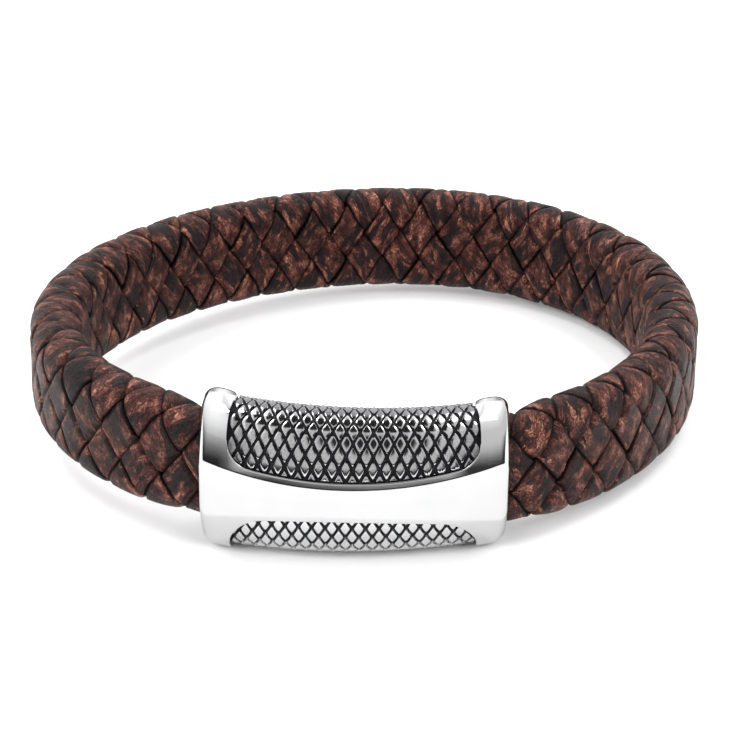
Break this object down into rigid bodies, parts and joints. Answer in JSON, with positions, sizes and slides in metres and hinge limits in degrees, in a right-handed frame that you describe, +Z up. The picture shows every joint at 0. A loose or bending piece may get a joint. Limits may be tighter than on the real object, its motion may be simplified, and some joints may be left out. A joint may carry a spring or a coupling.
{
  "type": "braided leather bracelet",
  "caption": "Braided brown leather bracelet, a flat tube of interwoven laces closed by a curved steel clasp with sunk panels of small diamond scales.",
  "frame": {"origin": "middle of the bracelet's overall box, on the surface it lies on", "axes": "+Z up off the table, +X along the clasp to the right seen from its front, -Y out through the clasp's front face"},
  "size_m": [0.072, 0.0724, 0.0162],
  "materials": {
    "leather": "antiqued, satin",
    "steel": "polished, blackened in the grooves",
    "core_steel": "plain, hidden"
  },
  "bodies": {
    "root": {"lace_right_1": "leather", "lace_right_2": "leather", "lace_right_3": "leather", "lace_right_4": "leather", "lace_left_1": "leather", "lace_left_2": "leather", "lace_left_3": "leather", "lace_left_4": "leather", "clasp_case": "steel", "lock_core": "core_steel"}
  },
  "joints": []
}
